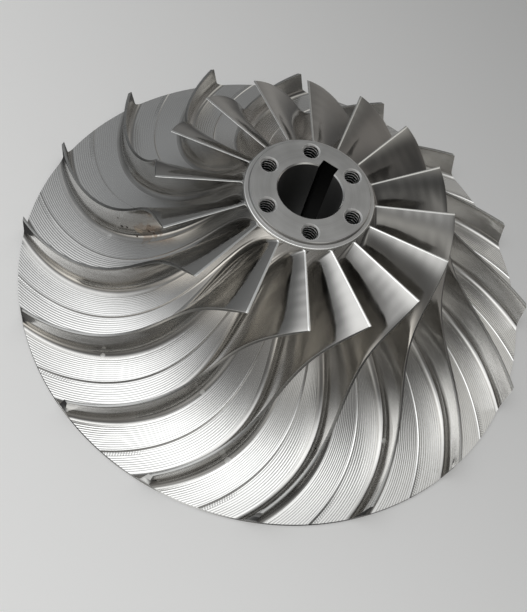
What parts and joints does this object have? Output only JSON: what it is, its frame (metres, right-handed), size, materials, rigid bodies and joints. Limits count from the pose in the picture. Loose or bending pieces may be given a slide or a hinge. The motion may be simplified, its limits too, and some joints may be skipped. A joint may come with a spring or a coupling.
{
  "type": "open centrifugal impeller",
  "caption": "Open centrifugal impeller with backswept blades on a flared hub and back disc, a keyed bore and tapped holes in the nose face.",
  "frame": {"origin": "centre of the flat back face, on the shaft axis", "axes": "+Z along the shaft axis towards the nose, +X through the keyway"},
  "size_m": [0.26, 0.26, 0.078],
  "materials": {
    "milled_floor": "ball-end milled, bright, with fine cutter ridges",
    "turned_face": "fine turned, matte",
    "milled_blade": "smooth flank milled, satin"
  },
  "bodies": {
    "root": {"back_disc": "milled_floor", "hub_body": "milled_floor", "nose": "turned_face", "blade_01": "milled_blade", "blade_02": "milled_blade", "blade_03": "milled_blade", "blade_04": "milled_blade", "blade_05": "milled_blade", "blade_06": "milled_blade", "blade_07": "milled_blade", "blade_08": "milled_blade", "blade_09": "milled_blade", "blade_10": "milled_blade", "blade_11": "milled_blade", "blade_12": "milled_blade", "blade_13": "milled_blade", "blade_14": "milled_blade", "blade_15": "milled_blade", "blade_16": "milled_blade"}
  },
  "joints": []
}
